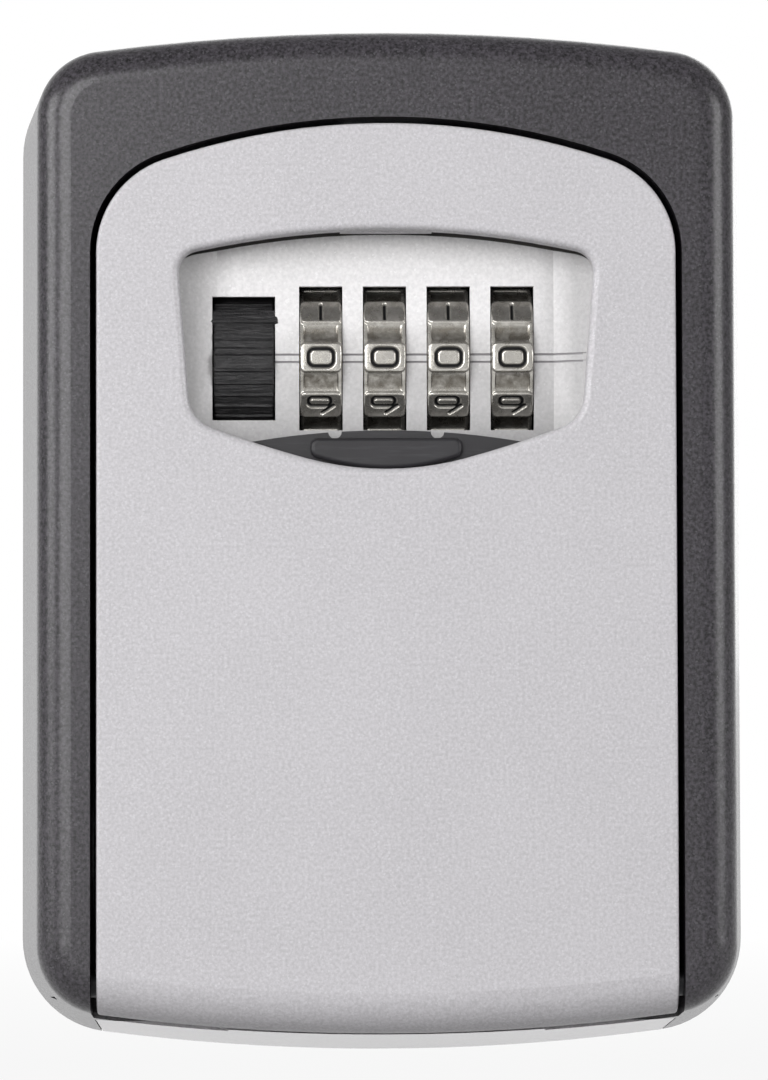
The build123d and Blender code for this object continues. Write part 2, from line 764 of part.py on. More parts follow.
with BuildPart() as latch_slider:
    # Bar above the wheels
    with BuildSketch(Plane.XY.offset(bar_bottom)):
        with Locations(((arm_left + latch_right_x) / 2, axis_y)):
            Rectangle(latch_right_x - arm_left, latch_thickness)
    extrude(amount=latch_bar_height)
    # Tongue that hooks behind the front lip of the case
    with BuildSketch(Plane.XY.offset(bar_top)):
        with Locations((0, axis_y)):
            Rectangle(2 * latch_tongue_half, latch_thickness)
    extrude(amount=opening_top + latch_bite - bar_top)
    chamfer(latch_slider.faces().sort_by(Axis.Z)[-1].edges().filter_by(Axis.Y), latch_thickness)
    # One fence finger for each code disc
    with BuildSketch(Plane.XY.offset(bar_bottom)):
        for x in wheel_places:
            with Locations((x - disc_left + disc_thickness / 2, axis_y)):
                Rectangle(fence_thickness, fence_depth)
    extrude(amount=-(bar_bottom - axis_z - disc_radius - fence_gap))
    # Side arm with the slot for the pin of the opening lever
    with BuildSketch(side_plane(arm_left)):
        with BuildLine():
            Polyline(
                (latch_thickness / 2, bar_top - axis_z),
                (arm_front, bar_top - axis_z),
                (arm_front, -arm_foot),
                (arm_back, -arm_foot),
                (arm_back, arm_foot),
                (arm_back - latch_thickness / 2, arm_foot + latch_thickness),
                (arm_back - latch_thickness / 2, bar_bottom - axis_z),
                (latch_thickness / 2, bar_bottom - axis_z),
                close=True,
            )
        make_face()
        with Locations(((pin_slot_front + pin_slot_back) / 2, 0)):
            SlotOverall(
                pin_slot_back - pin_slot_front,
                2 * (lever_pin_radius + pin_slot_play),
                mode=Mode.SUBTRACT,
            )
    extrude(amount=latch_arm_width)
write(latch_slider, "latch_slider")

# Compression spring between the shelf and the latch bar, with a flat cut at both ends
with BuildPart() as latch_spring:
    spring_length = bar_bottom - shelf_top
    coil = Helix(
        pitch=spring_length / spring_turns,
        height=spring_length,
        radius=spring_radius,
        center=(spring_x, axis_y, shelf_top),
    )
    with BuildSketch(Plane(origin=coil @ 0, z_dir=coil % 0)):
        Circle(spring_wire_radius)
    sweep(path=coil, is_frenet=True)
    split(bisect_by=Plane.XY.offset(shelf_top), keep=Keep.TOP)
    split(bisect_by=Plane.XY.offset(bar_bottom), keep=Keep.BOTTOM)
write(latch_spring, "latch_spring")

# Reset lever: fixed on the shaft, with a nose that stands out of the cover
with BuildPart() as reset_lever:
    nose_end = cover_back_y + reset_nose - axis_y
    with BuildSketch(side_plane(reset_x)):
        Circle(reset_half_height)
        with Locations(((nose_end - reset_stem_half) / 2, 0)):
            Rectangle(nose_end - reset_stem_half, 2 * reset_stem_half)
        with Locations((nose_end - reset_stem_half, 0)):
            Circle(reset_stem_half)
        Circle(shaft_radius, mode=Mode.SUBTRACT)
    extrude(amount=reset_thickness)
write(reset_lever, "reset_lever")

with BuildPart() as rear_cover:
    with BuildSketch(front_plane(cover_back_y)):
        with Locations((0, (lock_roof + lock_floor) / 2)):
            Rectangle(2 * lock_half_outer, lock_roof - lock_floor + 2 * lock_wall)
        with Locations(*column_levels):
            Rectangle(2 * column_x, column_web)
        with Locations(*column_places):
            Circle(column_radius)
            Circle(cover_screw_radius + cover_screw_clearance, mode=Mode.SUBTRACT)
        # Slot in which the reset lever slides
        with Locations((reset_x + (reset_thickness - reset_travel) / 2, axis_z)):
            Rectangle(
                reset_thickness + reset_travel + 2 * rib_play,
                2 * (reset_stem_half + rib_play),
                mode=Mode.SUBTRACT,
            )
    extrude(amount=cover_thickness)
    # Ribs that keep the wheels apart
    with BuildSketch(front_plane(lock_back_y)):
        for x in rib_places:
            with Locations((x, axis_z)):
                Rectangle(rib_width, 2 * rib_half_height)
    extrude(amount=lock_back_y - axis_y - rib_reach)
write(rear_cover, "rear_cover")

with BuildPart() as cover_screws:
    with BuildSketch(front_plane(cover_back_y)):
        with Locations(*column_places):
            Circle(cover_screw_head_radius)
    extrude(amount=-cover_screw_head)
    with BuildSketch(front_plane(cover_back_y)):
        with Locations(*column_places):
            Circle(cover_screw_radius)
    extrude(amount=cover_back_y - dial_back_y + cover_screw_bite)
    with BuildSketch(front_plane(cover_back_y + cover_screw_head)):
        for place in column_places:
            with Locations(place):
                Rectangle(cover_screw_cross, cover_screw_slot)
                Rectangle(cover_screw_slot, cover_screw_cross)
    extrude(amount=cover_screw_slot, mode=Mode.SUBTRACT)
write(cover_screws, "cover_screws")

# Leaf with one detent finger behind each wheel, bearing on the cover
with BuildPart() as detent_leaf:
    base_y = lock_back_y - axis_y
    apex_y = wheel_radius + leaf_gap
    with BuildSketch(side_plane(wheel_places[0] - leaf_finger_width / 2)):
        with Locations((base_y - leaf_thickness / 2, -(leaf_base_low + leaf_base_high) / 2)):
            Rectangle(leaf_thickness, leaf_base_low - leaf_base_high)
    extrude(amount=wheel_places[-1] - wheel_places[0] + leaf_finger_width)
    for x in wheel_places:
        with BuildSketch(side_plane(x - leaf_finger_width / 2)):
            with BuildLine():
                Polyline(
                    (base_y, -leaf_base_high),
                    (apex_y + leaf_thickness, 0),
                    (apex_y + 3 * leaf_thickness, leaf_tip_rise),
                    (apex_y + 2 * leaf_thickness, leaf_tip_rise),
                    (apex_y, 0),
                    (base_y - leaf_thickness, -leaf_base_high),
                    close=True,
                )
            make_face()
        extrude(amount=leaf_finger_width)
write(detent_leaf, "detent_leaf")
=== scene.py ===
import bpy
import json
import math
import numpy as np
from mathutils import Matrix, Vector


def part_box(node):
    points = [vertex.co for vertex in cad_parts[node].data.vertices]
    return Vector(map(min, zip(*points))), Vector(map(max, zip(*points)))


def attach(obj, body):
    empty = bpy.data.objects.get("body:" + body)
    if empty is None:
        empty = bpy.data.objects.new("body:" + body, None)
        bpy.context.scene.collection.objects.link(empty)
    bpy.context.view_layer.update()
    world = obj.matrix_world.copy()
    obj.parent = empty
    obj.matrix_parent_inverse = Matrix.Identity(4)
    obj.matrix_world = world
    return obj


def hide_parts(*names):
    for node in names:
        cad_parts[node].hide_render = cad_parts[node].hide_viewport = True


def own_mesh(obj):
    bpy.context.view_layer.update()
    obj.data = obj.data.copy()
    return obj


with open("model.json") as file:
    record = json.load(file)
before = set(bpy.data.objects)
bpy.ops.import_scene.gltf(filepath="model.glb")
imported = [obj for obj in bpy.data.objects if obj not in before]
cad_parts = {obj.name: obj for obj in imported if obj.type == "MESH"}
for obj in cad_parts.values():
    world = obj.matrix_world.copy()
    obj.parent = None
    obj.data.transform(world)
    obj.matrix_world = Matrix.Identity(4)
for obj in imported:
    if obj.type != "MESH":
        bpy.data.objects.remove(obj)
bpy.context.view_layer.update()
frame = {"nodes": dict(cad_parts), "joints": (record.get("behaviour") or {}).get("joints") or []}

MM = 0.001
nodes = frame["nodes"]
joints = {joint["name"]: joint for joint in frame["joints"]}
lock_axis = tuple(joints["wheel_1_turn"]["pos_m"][1:])

# Camera: from the front, a little from the left and below (degrees, metres, pixels)
image_height = 1080
camera_distance = 0.6265
camera_turn = 0.98
camera_tilt = 2.88
camera_roll = 0.15
focal_pixels = 5611.0
sensor_height = 36.0
centre_right = 2.87
centre_up = 11.0
front_face_y = -0.040

# Stage
floor_z = -0.0665
floor_half = 3.0

# Wheels, in millimetres and degrees
wheel_half_width = 2.35
wheel_count = 4
digit_count = 10
pad_height = 9.06
pad_half_x = 2.25
pad_half_v = 1.60
pad_corner = 0.5
pad_slope = 2.6
rim_height = 8.88
pocket_depth = 0.24
pocket_half_x = 1.98
pocket_half_v = 1.18
pocket_side = 0.12
wheel_edge = 0.12
wheel_bore = 3.8
spline_bore = 3.3
spline_length = 1.1
spline_groove = 18.0
digit_half_x = 1.42
digit_half_v = 1.02
stroke_half = 0.2
stroke_edge = 0.09
stroke_depth = 0.38

# Opening lever
lever_hub_half_width = 3.05
lever_rim_bore = 6.5
lever_half_width = 3.38
lever_ledge_spread = 1.14
lever_outer = 8.4
lever_hub = 3.0
lever_bore = 1.55
lever_low = -58.0
lever_high = 95.0
lever_ledge = (27.5, 38.5, 0.45)
lever_hollow = (2.5, 14.6, 0.35)
lever_ridge_first = -9.6
lever_ridge_step = 9.9
lever_ridge_count = 5
lever_ridge_half = 1.5
lever_ridge_raise = 0.2
lever_grooves = (20.6, 40.5, 47.8, 8.2)
lever_groove_depth = 0.14
lever_groove_half = 0.75
lever_edge = 0.25
lever_pin_at = 4.0
lever_pin_radius = 0.7
lever_pin_length = 1.95

# Screws, in millimetres in the order of screw_sizes, and their turns in radians
screw_sizes = (
    "Head Radius", "Head Height", "Dome Radius", "Shank Radius", "Shank Length",
    "Recess Length", "Recess Width", "Recess Depth",
)
cover_screw = (2.3, 1.4, 3.2, 1.2, 24.3, 3.2, 0.6, 0.7)
floor_screw = (3.2, 1.8, 4.6, 1.2, 2.4, 4.0, 0.7, 0.9)
cover_screw_turn = 0.3
floor_screw_turn = 0.5

# Latch spring
spring_wire = 0.25
spring_turns = 5.0

# Dial plate, in metres: back of its silver skin (dark behind it: painted shade), its index lines, and
# where painted shade darkens its bottom and sides (from, to, none, most)
plate_skin_back = -0.0329
index_line_off = 0.00042
index_line_half = 0.0001
index_line_ends = (-0.0125, 0.0222)
plate_shade_bottom = (0.004, -0.009, 0.0, 0.56)
plate_shade_sides = (0.0170, 0.0215, 0.0, 0.50)

# Finishes: depths in metres
grain_depth = 0.0001
scratch_depth = 0.00006
coat_rough = 0.27
rough_spread = 0.08


def new_mesh(name, points, faces, smooth=True):
    """A mesh object in the row frame, from points in metres."""
    mesh = bpy.data.meshes.new(name)
    mesh.from_pydata([tuple(point) for point in points], [], [tuple(face) for face in faces])
    mesh.polygons.foreach_set("use_smooth", [smooth] * len(mesh.polygons))
    piece = bpy.data.objects.new(name, mesh)
    bpy.context.scene.collection.objects.link(piece)
    return piece


# Node groups that several finishes share


def start_group(name, inputs, outputs):
    tree = bpy.data.node_groups.new(name, "ShaderNodeTree")
    for label, value in inputs:
        socket = tree.interface.new_socket(label, in_out="INPUT", socket_type="NodeSocketFloat")
        socket.default_value = value
    for label in outputs:
        tree.interface.new_socket(label, in_out="OUTPUT", socket_type="NodeSocketFloat")
    return tree, tree.nodes.new("NodeGroupInput"), tree.nodes.new("NodeGroupOutput")


def feed(tree, socket, value):
    if isinstance(value, bpy.types.NodeSocket):
        tree.links.new(value, socket)
    else:
        socket.default_value = value


def calculate(tree, operation, a, b=0.5):
    node = tree.nodes.new("ShaderNodeMath")
    node.operation = operation
    feed(tree, node.inputs[0], a)
    feed(tree, node.inputs[1], b)
    return node.outputs[0]


def remap(tree, value, low, high, out_low=0.0, out_high=1.0):
    node = tree.nodes.new("ShaderNodeMapRange")
    node.inputs["From Min"].default_value = low
    node.inputs["From Max"].default_value = high
    node.inputs["To Min"].default_value = out_low
    node.inputs["To Max"].default_value = out_high
    tree.links.new(value, node.inputs["Value"])
    return node.outputs["Result"]


def noise(tree, vector, scale, detail=3.0, roughness=0.5):
    node = tree.nodes.new("ShaderNodeTexNoise")
    node.inputs["Detail"].default_value = detail
    node.inputs["Roughness"].default_value = roughness
    feed(tree, node.inputs["Scale"], scale)
    tree.links.new(vector, node.inputs["Vector"])
    return node.outputs["Fac"]


def make_flake_group():
    """Metal flakes in a paint, its fine grain and a slow mottling, each from 0 to 1."""
    tree, given, out = start_group(
        "paint_flakes",
        [("Flake Scale", 4200.0), ("Grain Scale", 2400.0), ("Mottle Scale", 70.0)],
        ["Flake", "Grain", "Mottle"],
    )
    place = tree.nodes.new("ShaderNodeTexCoord").outputs["Object"]
    cells = tree.nodes.new("ShaderNodeTexVoronoi")
    tree.links.new(given.outputs["Flake Scale"], cells.inputs["Scale"])
    tree.links.new(place, cells.inputs["Vector"])
    split = tree.nodes.new("ShaderNodeSeparateColor")
    tree.links.new(cells.outputs["Color"], split.inputs[0])
    tree.links.new(split.outputs[0], out.inputs["Flake"])
    tree.links.new(noise(tree, place, given.outputs["Grain Scale"], 2.0, 0.6), out.inputs["Grain"])
    tree.links.new(noise(tree, place, given.outputs["Mottle Scale"], 3.0, 0.55), out.inputs["Mottle"])
    return tree


def make_handling_group():
    """Fine scratches that run one way, and smudges, each from 0 to 1."""
    tree, given, out = start_group(
        "handling",
        [("Scratch Scale", 1500.0), ("Smudge Scale", 120.0)],
        ["Scratch", "Smudge"],
    )
    place = tree.nodes.new("ShaderNodeTexCoord").outputs["Object"]
    stretch = tree.nodes.new("ShaderNodeMapping")
    stretch.inputs["Scale"].default_value = (0.1, 1.0, 1.0)
    stretch.inputs["Rotation"].default_value = (0.2, 0.3, 0.1)
    tree.links.new(place, stretch.inputs["Vector"])
    lines = noise(tree, stretch.outputs[0], given.outputs["Scratch Scale"], 4.0, 0.65)
    tree.links.new(lines, out.inputs["Scratch"])
    tree.links.new(noise(tree, place, given.outputs["Smudge Scale"], 4.0, 0.6), out.inputs["Smudge"])
    return tree


flake_group = make_flake_group()
handling_group = make_handling_group()


def new_finish(name, metallic=0.0, ior=1.45):
    finish = bpy.data.materials.new(name)
    finish.use_nodes = True
    tree = finish.node_tree
    tree.nodes.clear()
    shader = tree.nodes.new("ShaderNodeBsdfPrincipled")
    result = tree.nodes.new("ShaderNodeOutputMaterial")
    tree.links.new(shader.outputs[0], result.inputs["Surface"])
    shader.inputs["Metallic"].default_value = metallic
    shader.inputs["IOR"].default_value = ior
    return finish, tree, shader


def place_group(tree, group, **values):
    node = tree.nodes.new("ShaderNodeGroup")
    node.node_tree = group
    for label, value in values.items():
        node.inputs[label.replace("_", " ").title()].default_value = value
    return node.outputs


def mix_colours(tree, factor, first, second):
    node = tree.nodes.new("ShaderNodeMix")
    node.data_type = "RGBA"
    colour_a, colour_b = [s for s in node.inputs if s.type == "RGBA"]
    feed(tree, node.inputs[0], factor)
    feed(tree, colour_a, (*first, 1.0) if isinstance(first, tuple) else first)
    feed(tree, colour_b, (*second, 1.0) if isinstance(second, tuple) else second)
    return [s for s in node.outputs if s.type == "RGBA"][0]


def add_bump(tree, shader, height, strength, distance):
    node = tree.nodes.new("ShaderNodeBump")
    node.inputs["Strength"].default_value = strength
    node.inputs["Distance"].default_value = distance
    tree.links.new(height, node.inputs["Height"])
    tree.links.new(node.outputs[0], shader.inputs["Normal"])


def flaked_paint(
    name, body, spark, rough, grain, drift, speckle,
    share=0.05, coat=0.05, gloss=0.5, metallic=0.1, scale=5600.0,
):
    """Paint with metal flakes: a body colour that drifts and speckles, and a share of bright flakes."""
    finish, tree, shader = new_finish(name, metallic, 1.5)
    flakes = place_group(tree, flake_group, flake_scale=scale, grain_scale=scale * 0.5)
    darker = tuple(value * (1 - drift - speckle) for value in body)
    lighter = tuple(value * (1 + drift + speckle) for value in body)
    drifting = calculate(tree, "MULTIPLY", remap(tree, flakes["Mottle"], 0.3, 0.7), drift)
    speckled = calculate(tree, "MULTIPLY", remap(tree, flakes["Grain"], 0.33, 0.67), speckle)
    level = calculate(tree, "DIVIDE", calculate(tree, "ADD", drifting, speckled), drift + speckle)
    shade = mix_colours(tree, level, darker, lighter)
    sparks = remap(tree, flakes["Flake"], 1.0 - share, 1.0)
    tree.links.new(mix_colours(tree, sparks, shade, spark), shader.inputs["Base Color"])
    rough = remap(tree, flakes["Flake"], 0.0, 1.0, rough + rough_spread, rough - rough_spread)
    tree.links.new(rough, shader.inputs["Roughness"])
    height = calculate(tree, "ADD", flakes["Grain"], calculate(tree, "MULTIPLY", flakes["Flake"], 0.25))
    add_bump(tree, shader, height, grain, grain_depth)
    shader.inputs["Specular IOR Level"].default_value = gloss
    shader.inputs["Coat Weight"].default_value = coat
    shader.inputs["Coat Roughness"].default_value = coat_rough
    return finish


def moulded_plastic(
    name, dark, light, rough, grain, scale=1800.0, scuff=0.3, streaks=0.0, scratches=1500.0
):
    """Moulded plastic: a fine spark-eroded grain, smudges, pale scuffs, and streaks worn across."""
    finish, tree, shader = new_finish(name)
    touch = place_group(tree, handling_group, smudge_scale=150.0, scratch_scale=scratches)
    fine = place_group(tree, flake_group, grain_scale=scale, mottle_scale=90.0)
    body = mix_colours(tree, remap(tree, fine["Mottle"], 0.3, 0.7), dark, light)
    scuffs = remap(tree, touch["Scratch"], 0.52, 0.70, 0.0, scuff)
    pale = tuple(min(1.0, 2.2 * value + 0.02) for value in light)
    tree.links.new(mix_colours(tree, scuffs, body, pale), shader.inputs["Base Color"])
    rough = remap(tree, touch["Smudge"], 0.3, 0.7, rough - 0.07, rough + 0.07)
    tree.links.new(rough, shader.inputs["Roughness"])
    worn = calculate(tree, "MULTIPLY", touch["Scratch"], streaks)
    add_bump(tree, shader, calculate(tree, "ADD", fine["Grain"], worn), grain, grain_depth)
    return finish


def worked_metal(name, dark, light, rough, scratches, scale=1500.0):
    """Bare or plated metal: fine lines from working it, and a slow change of tone."""
    finish, tree, shader = new_finish(name, 1.0)
    touch = place_group(tree, handling_group, scratch_scale=scale, smudge_scale=200.0)
    tone = mix_colours(tree, remap(tree, touch["Smudge"], 0.3, 0.7), dark, light)
    tree.links.new(tone, shader.inputs["Base Color"])
    rough = remap(tree, touch["Scratch"], 0.3, 0.7, rough - 0.08, rough + 0.1)
    tree.links.new(rough, shader.inputs["Roughness"])
    add_bump(tree, shader, touch["Scratch"], scratches, scratch_depth)
    return finish


def make_chrome():
    """Chrome plate with dull spots, painted shade where hollow is 1, and black paint where ink is 1."""
    finish, tree, shader = new_finish("wheel_chrome")
    ink_layer = tree.nodes.new("ShaderNodeAttribute")
    ink_layer.attribute_name = "ink"
    ink = ink_layer.outputs["Fac"]
    hollow_layer = tree.nodes.new("ShaderNodeAttribute")
    hollow_layer.attribute_name = "hollow"
    touch = place_group(tree, handling_group, scratch_scale=1300.0, smudge_scale=900.0)
    spots = remap(tree, touch["Smudge"], 0.35, 0.7)
    plate = mix_colours(tree, spots, (0.60, 0.58, 0.54), (0.33, 0.315, 0.285))
    patches = remap(tree, touch["Smudge"], 0.3, 0.6, 0.45, 0.95)
    # Painted shade: the scallop pockets are darkened in patches towards the dark colour below.
    pocket_shade = calculate(tree, "MULTIPLY", hollow_layer.outputs["Fac"], patches)
    plate = mix_colours(tree, pocket_shade, plate, (0.13, 0.118, 0.10))
    tree.links.new(mix_colours(tree, ink, plate, (0.008, 0.008, 0.009)), shader.inputs["Base Color"])
    bare = calculate(tree, "SUBTRACT", 1.0, ink)
    tree.links.new(calculate(tree, "MULTIPLY", bare, 0.82), shader.inputs["Metallic"])
    dull = remap(tree, touch["Smudge"], 0.35, 0.7, 0.12, 0.34)
    inked = calculate(tree, "MULTIPLY", ink, 0.3)
    tree.links.new(calculate(tree, "ADD", dull, inked), shader.inputs["Roughness"])
    add_bump(tree, shader, touch["Smudge"], 0.16, 0.00008)
    shader.inputs["Specular IOR Level"].default_value = 0.15
    return finish


def finish_dial_plate(finish):
    """Silver in front, darkened by painted shade towards the bottom and sides, painted dark behind the
    silver skin as painted shade, and two painted index lines.
    """
    tree = finish.node_tree
    shader = tree.nodes["Principled BSDF"]
    paint = shader.inputs["Base Color"].links[0].from_socket
    split = tree.nodes.new("ShaderNodeSeparateXYZ")
    tree.links.new(tree.nodes.new("ShaderNodeTexCoord").outputs["Object"], split.inputs[0])
    across, depth, height = split.outputs
    above_axis = calculate(tree, "SUBTRACT", height, lock_axis[1])
    # Painted shade: everything behind the silver skin is dark, so the gap above the plate reads black.
    behind_skin_shade = remap(tree, depth, plate_skin_back, plate_skin_back + 0.04 * MM)
    from_axis = calculate(tree, "ABSOLUTE", above_axis)
    off_line = calculate(tree, "ABSOLUTE", calculate(tree, "SUBTRACT", from_axis, index_line_off))
    line = remap(tree, off_line, index_line_half + 0.04 * MM, index_line_half)
    left, right = index_line_ends
    line = calculate(tree, "MULTIPLY", line, remap(tree, across, left - 0.1 * MM, left))
    line = calculate(tree, "MULTIPLY", line, remap(tree, across, right + 0.1 * MM, right))
    # Painted shade: darker towards the bottom and towards the sides, mixed to the dark colour below.
    bottom_shade = remap(tree, above_axis, *plate_shade_bottom)
    ends = remap(tree, calculate(tree, "ABSOLUTE", across), *plate_shade_sides)
    shade_toned = mix_colours(tree, calculate(tree, "MAXIMUM", bottom_shade, ends), paint, (0.05, 0.048, 0.05))
    lined = mix_colours(tree, line, shade_toned, (0.24, 0.23, 0.24))
    tree.links.new(mix_colours(tree, behind_skin_shade, lined, (0.10, 0.095, 0.088)), shader.inputs["Base Color"])


case_paint = flaked_paint(
    "case_paint", (0.0305, 0.0273, 0.0325), (0.068, 0.064, 0.072), 0.42, 0.45,
    drift=0.10, speckle=0.80, share=0.12, coat=0.75, gloss=0.1, metallic=0.0, scale=4800.0,
)
silver_paint = flaked_paint(
    "silver_paint", (0.492, 0.480, 0.499), (0.57, 0.56, 0.58), 0.45, 0.05,
    drift=0.02, speckle=0.11, share=0.12, gloss=0.25,
)
# Painted sheen: a much brighter copy of the silver paint for the floor plate's underside, standing for
# its shine at grazing view.
underside_sheen_paint = flaked_paint(
    "silver_underside_painted_sheen", (0.820, 0.800, 0.825), (0.90, 0.88, 0.90), 0.45, 0.05,
    drift=0.02, speckle=0.07, coat=1.0,
)
dial_paint = flaked_paint(
    "dial_plate_paint", (0.730, 0.718, 0.722), (0.82, 0.81, 0.815), 0.38, 0.10,
    drift=0.03, speckle=0.07, gloss=0.4, metallic=0.2, scale=4400.0,
)
finish_dial_plate(dial_paint)
chrome = make_chrome()
lever_black = moulded_plastic(
    "lever_plastic", (0.009, 0.009, 0.010), (0.018, 0.017, 0.018), 0.44, 0.9, 2600.0,
    scuff=1.0, streaks=2.0, scratches=3600.0,
)
shutter_grey = moulded_plastic(
    "shutter_plastic", (0.011, 0.010, 0.012), (0.017, 0.016, 0.019), 0.48, 0.15
)
cover_black = moulded_plastic(
    "cover_plastic", (0.028, 0.028, 0.029), (0.040, 0.040, 0.041), 0.5, 0.35
)
pin_steel = worked_metal("pin_steel", (0.34, 0.34, 0.35), (0.42, 0.42, 0.43), 0.32, 0.2)
pin_black = worked_metal("pin_blackened", (0.030, 0.030, 0.032), (0.055, 0.055, 0.058), 0.42, 0.2)
screw_steel = worked_metal("screw_steel", (0.46, 0.46, 0.48), (0.58, 0.58, 0.58), 0.34, 0.25)
latch_steel = worked_metal("latch_steel", (0.44, 0.44, 0.45), (0.55, 0.55, 0.54), 0.38, 0.35)
spring_steel = worked_metal("spring_steel", (0.38, 0.38, 0.40), (0.50, 0.50, 0.50), 0.30, 0.15)
brass = worked_metal("brass_inner", (0.34, 0.24, 0.10), (0.46, 0.33, 0.15), 0.36, 0.3)

finish_of = {
    "case_shell": case_paint,
    "floor_plate": underside_sheen_paint,
    "floor_screws": screw_steel,
    "door_panel": silver_paint,
    "hinge_pin_left": pin_black,
    "hinge_pin_right": pin_black,
    "shutter": shutter_grey,
    "lock_carrier": dial_paint,
    "wheel_shaft": pin_steel,
    "shaft_spacers": brass,
    "shaft_clip": spring_steel,
    "latch_slider": latch_steel,
    "latch_spring": spring_steel,
    "reset_lever": latch_steel,
    "rear_cover": cover_black,
    "cover_screws": screw_steel,
    "detent_leaf": spring_steel,
}
for k in range(wheel_count):
    finish_of[f"code_disc_{k + 1}"] = brass
for name, finish in finish_of.items():
    mesh = nodes[name].data
    mesh.materials.clear()
    mesh.materials.append(finish)


# Wheels and lever: rings whose outer radius follows a rule


def ring_piece(name, centre, angles, places, outer, bore, spread=1.0):
    """Closed ring about the X line through centre. outer and bore are radii in mm, one row per angle."""
    rows, columns = outer.shape
    turn = np.radians(angles)[:, None]
    points = []
    for radius in (outer, bore):
        x = np.broadcast_to(places[None, :] * spread, radius.shape)
        y = -radius * np.cos(turn)
        z = radius * np.sin(turn)
        points.append(np.stack([x, y, z], axis=-1).reshape(-1, 3))
    points = np.concatenate(points) * MM + np.array(centre)
    i = np.arange(rows)[:, None]
    j = np.arange(columns - 1)[None, :]
    n = (i + 1) % rows
    skin = np.stack([i * columns + j, n * columns + j, n * columns + j + 1, i * columns + j + 1], axis=-1)
    inner = skin[..., ::-1] + rows * columns
    ends = []
    for j, flip in ((0, True), (columns - 1, False)):
        a = np.arange(rows)
        b = (a + 1) % rows
        ring = [a * columns + j, b * columns + j, (rows + b) * columns + j, (rows + a) * columns + j]
        cap = np.stack(ring, axis=-1)
        ends.append(cap[:, ::-1] if flip else cap)
    faces = np.concatenate([skin.reshape(-1, 4), inner.reshape(-1, 4), *ends])
    return new_mesh(name, points, faces[:, ::-1])


def rounded_box_distance(x, v, half_x, half_v, corner):
    """How far a point lies outside a rounded rectangle, negative inside."""
    dx = np.abs(x) - half_x + corner
    dv = np.abs(v) - half_v + corner
    outside = np.hypot(np.maximum(dx, 0), np.maximum(dv, 0))
    return outside + np.minimum(np.maximum(dx, dv), 0) - corner


def stroke_distance(x, v, strokes):
    """Distance from each point to the nearest stroke of a digit."""
    nearest = np.full(x.shape, 9.0)
    for line in strokes:
        for (x0, v0), (x1, v1) in zip(line, line[1:]):
            length = max((x1 - x0) ** 2 + (v1 - v0) ** 2, 1e-9)
            t = np.clip(((x - x0) * (x1 - x0) + (v - v0) * (v1 - v0)) / length, 0, 1)
            nearest = np.minimum(nearest, np.hypot(x - x0 - t * (x1 - x0), v - v0 - t * (v1 - v0)))
    return nearest


def loop(low_x, high_x, low_v, high_v, corner, steps=5):
    """Points round a rounded rectangle."""
    line = []
    corners = ((high_x, high_v, 0), (low_x, high_v, 90), (low_x, low_v, 180), (high_x, low_v, 270))
    for x, v, start in corners:
        middle_x = x - math.copysign(corner, x - (low_x + high_x) / 2)
        middle_v = v - math.copysign(corner, v - (low_v + high_v) / 2)
        for k in range(steps + 1):
            a = math.radians(start + 90 * k / steps)
            line.append((middle_x + corner * math.cos(a), middle_v + corner * math.sin(a)))
    return line + line[:1]


def digit_strokes():
    """Centre lines of the wide digits, in mm on the pad."""
    w = digit_half_x
    h = digit_half_v
    six = [
        [(-0.1 * w, h), (-w, 0.05 * h)],
        loop(-0.8 * w, w, -h, 0.12 * h, 0.5),
    ]
    return [
        [loop(-w, w, -h, h, 0.72)],
        [[(0.0, h), (0.0, -h)]],
        [[(-w, 0.6 * h), (-0.75 * w, h), (0.75 * w, h), (w, 0.65 * h), (0.85 * w, 0.15 * h), (-w, -h),
          (w, -h)]],
        [[(-w, h), (w, h), (0.1 * w, 0.2 * h), (0.75 * w, 0.15 * h), (w, -0.2 * h), (w, -0.65 * h),
          (0.75 * w, -h), (-0.75 * w, -h), (-w, -0.65 * h)]],
        [[(0.5 * w, -h), (0.5 * w, h), (-w, -0.4 * h), (w, -0.4 * h)]],
        [[(w, h), (-0.85 * w, h), (-0.95 * w, 0.2 * h), (0.7 * w, 0.2 * h), (w, -0.15 * h),
          (w, -0.65 * h), (0.75 * w, -h), (-w, -h)]],
        six,
        [[(-w, h), (w, h), (-0.25 * w, -h)]],
        [loop(-0.85 * w, 0.85 * w, 0.06 * h, h, 0.42), loop(-w, w, -h, 0.06 * h, 0.45)],
        [[(-x, -v) for x, v in line] for line in six],
    ]


